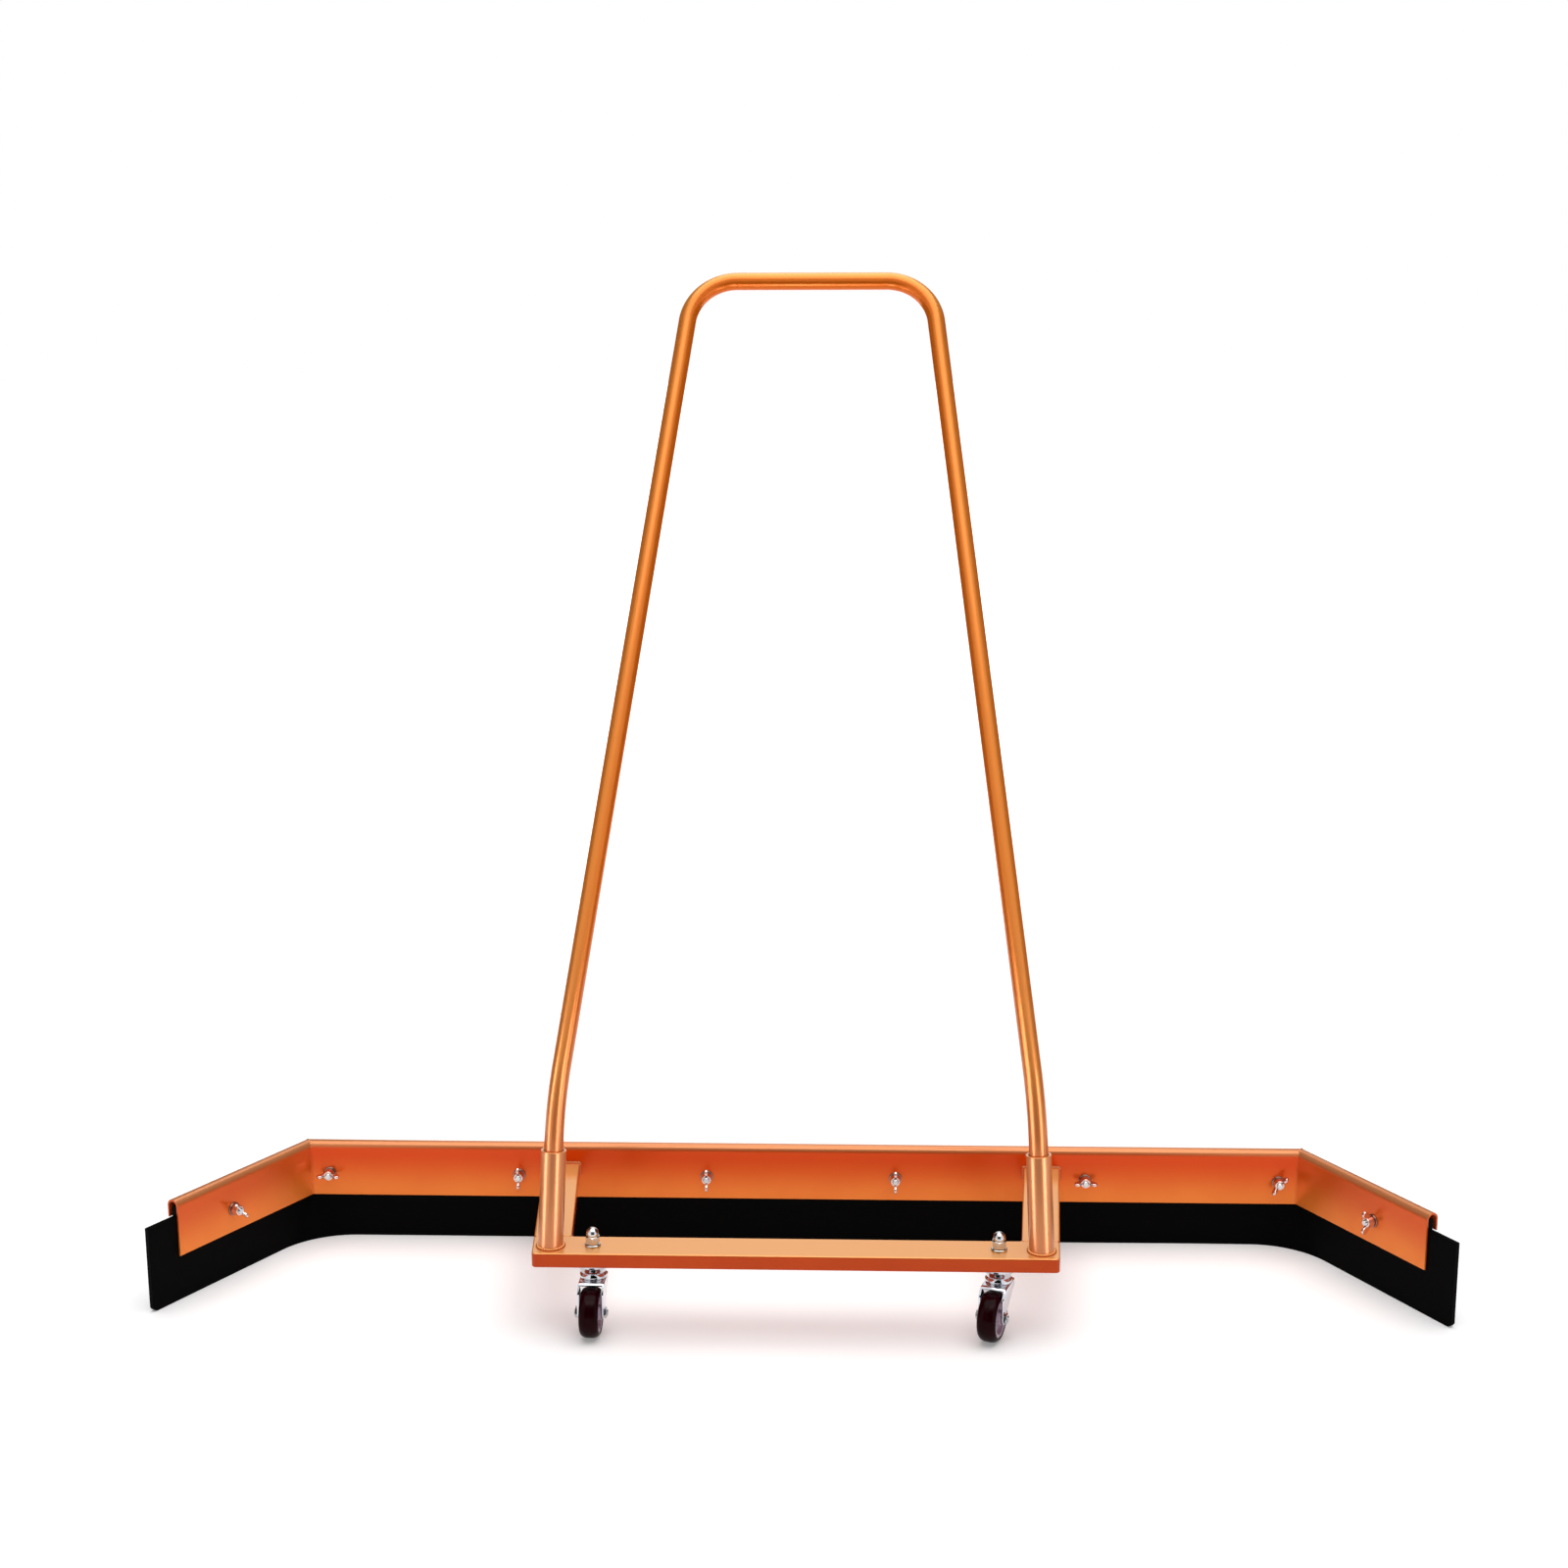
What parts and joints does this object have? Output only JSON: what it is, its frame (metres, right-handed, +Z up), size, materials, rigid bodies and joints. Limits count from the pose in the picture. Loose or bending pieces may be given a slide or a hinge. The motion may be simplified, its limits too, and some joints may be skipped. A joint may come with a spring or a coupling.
{
  "type": "wheeled push squeegee",
  "caption": "Wide winged squeegee with a rubber blade, clamped by wing nuts to an orange rail and pushed on two swivel casters with a tall U-shaped tube handle",
  "frame": {"origin": "middle of the object's width and depth at floor height, where the blade's lower edge and the caster wheels touch the floor", "axes": "+Z up; +Y towards the person who pushes, so the blade is pushed towards -Y and its wings sweep towards -Y; +X to the right when looking along +Y at the front of the blade"},
  "size_m": [1.3126, 0.4988, 1.0233],
  "materials": {
    "orange_powder_coat": "smooth satin orange powder coat on steel tube and sheet",
    "black_rubber": "matt black sheet rubber with cut edges",
    "zinc_plate": "bright zinc plated steel",
    "bright_chrome": "bright nickel and chrome plated pressed steel",
    "maroon_polyurethane": "glossy dark maroon polyurethane tread",
    "lilac_grey_plastic": "smooth moulded pale plastic"
  },
  "bodies": {
    "root": {"centre_blade_rail": "orange_powder_coat", "left_wing_rail": "orange_powder_coat", "right_wing_rail": "orange_powder_coat", "rubber_blade": "black_rubber", "centre_clamp_strip": "zinc_plate", "left_clamp_strip": "zinc_plate", "right_clamp_strip": "zinc_plate", "blade_bolt_1": "zinc_plate", "blade_bolt_2": "zinc_plate", "blade_bolt_3": "zinc_plate", "blade_bolt_4": "zinc_plate", "blade_bolt_5": "zinc_plate", "blade_bolt_6": "zinc_plate", "blade_bolt_7": "zinc_plate", "blade_bolt_8": "zinc_plate", "blade_washer_1": "zinc_plate", "blade_washer_2": "zinc_plate", "blade_washer_3": "zinc_plate", "blade_washer_4": "zinc_plate", "blade_washer_5": "zinc_plate", "blade_washer_6": "zinc_plate", "blade_washer_7": "zinc_plate", "blade_washer_8": "zinc_plate", "front_crossbar": "orange_powder_coat", "left_side_arm": "orange_powder_coat", "right_side_arm": "orange_powder_coat", "left_handle_socket": "orange_powder_coat", "right_handle_socket": "orange_powder_coat", "push_handle": "orange_powder_coat", "left_caster_stem": "zinc_plate", "left_caster_upper_race": "bright_chrome", "left_cap_nut_washer": "zinc_plate", "left_cap_nut": "zinc_plate", "right_caster_stem": "zinc_plate", "right_caster_upper_race": "bright_chrome", "right_cap_nut_washer": "zinc_plate", "right_cap_nut": "zinc_plate"},
    "left_caster": {"left_caster_fork": "bright_chrome", "left_caster_lower_race": "bright_chrome", "left_axle_bolt": "zinc_plate", "left_axle_nut": "zinc_plate"},
    "right_caster": {"right_caster_fork": "bright_chrome", "right_caster_lower_race": "bright_chrome", "right_axle_bolt": "zinc_plate", "right_axle_nut": "zinc_plate"},
    "left_wheel": {"left_wheel_hub": "lilac_grey_plastic", "left_wheel_tyre": "maroon_polyurethane"},
    "right_wheel": {"right_wheel_hub": "lilac_grey_plastic", "right_wheel_tyre": "maroon_polyurethane"},
    "wing_nut_body_1": {"wing_nut_1": "zinc_plate"},
    "wing_nut_body_2": {"wing_nut_2": "zinc_plate"},
    "wing_nut_body_3": {"wing_nut_3": "zinc_plate"},
    "wing_nut_body_4": {"wing_nut_4": "zinc_plate"},
    "wing_nut_body_5": {"wing_nut_5": "zinc_plate"},
    "wing_nut_body_6": {"wing_nut_6": "zinc_plate"},
    "wing_nut_body_7": {"wing_nut_7": "zinc_plate"},
    "wing_nut_body_8": {"wing_nut_8": "zinc_plate"}
  },
  "joints": [
    {"name": "left_caster_swivel", "type": "hinge", "parent": "root", "child": "left_caster", "pos_m": [-0.201, -0.20451, 0.0576], "axis": [0, 0, 1], "continuous": true},
    {"name": "right_caster_swivel", "type": "hinge", "parent": "root", "child": "right_caster", "pos_m": [0.201, -0.20451, 0.0576], "axis": [0, 0, 1], "continuous": true},
    {"name": "left_wheel_spin", "type": "hinge", "parent": "left_caster", "child": "left_wheel", "pos_m": [-0.2017, -0.2245, 0.025], "axis": [0.9994, -0.0349, 0], "continuous": true},
    {"name": "right_wheel_spin", "type": "hinge", "parent": "right_caster", "child": "right_wheel", "pos_m": [0.19416, -0.22331, 0.025], "axis": [0.9397, -0.342, 0], "continuous": true},
    {"name": "wing_nut_1_turn", "type": "hinge", "parent": "root", "child": "wing_nut_body_1", "pos_m": [-0.59041, -0.09419, 0.073], "axis": [0.848, -0.5299, 0], "continuous": true},
    {"name": "wing_nut_2_turn", "type": "hinge", "parent": "root", "child": "wing_nut_body_2", "pos_m": [-0.5105, 0.00249, 0.073], "axis": [0, -1, 0], "continuous": true},
    {"name": "wing_nut_3_turn", "type": "hinge", "parent": "root", "child": "wing_nut_body_3", "pos_m": [-0.3045, 0.00249, 0.073], "axis": [0, -1, 0], "continuous": true},
    {"name": "wing_nut_4_turn", "type": "hinge", "parent": "root", "child": "wing_nut_body_4", "pos_m": [-0.1015, 0.00249, 0.073], "axis": [0, -1, 0], "continuous": true},
    {"name": "wing_nut_5_turn", "type": "hinge", "parent": "root", "child": "wing_nut_body_5", "pos_m": [0.1015, 0.00249, 0.073], "axis": [0, -1, 0], "continuous": true},
    {"name": "wing_nut_6_turn", "type": "hinge", "parent": "root", "child": "wing_nut_body_6", "pos_m": [0.3045, 0.00249, 0.073], "axis": [0, -1, 0], "continuous": true},
    {"name": "wing_nut_7_turn", "type": "hinge", "parent": "root", "child": "wing_nut_body_7", "pos_m": [0.5105, 0.00249, 0.073], "axis": [0, -1, 0], "continuous": true},
    {"name": "wing_nut_8_turn", "type": "hinge", "parent": "root", "child": "wing_nut_body_8", "pos_m": [0.59041, -0.09419, 0.073], "axis": [-0.848, -0.5299, 0], "continuous": true}
  ]
}
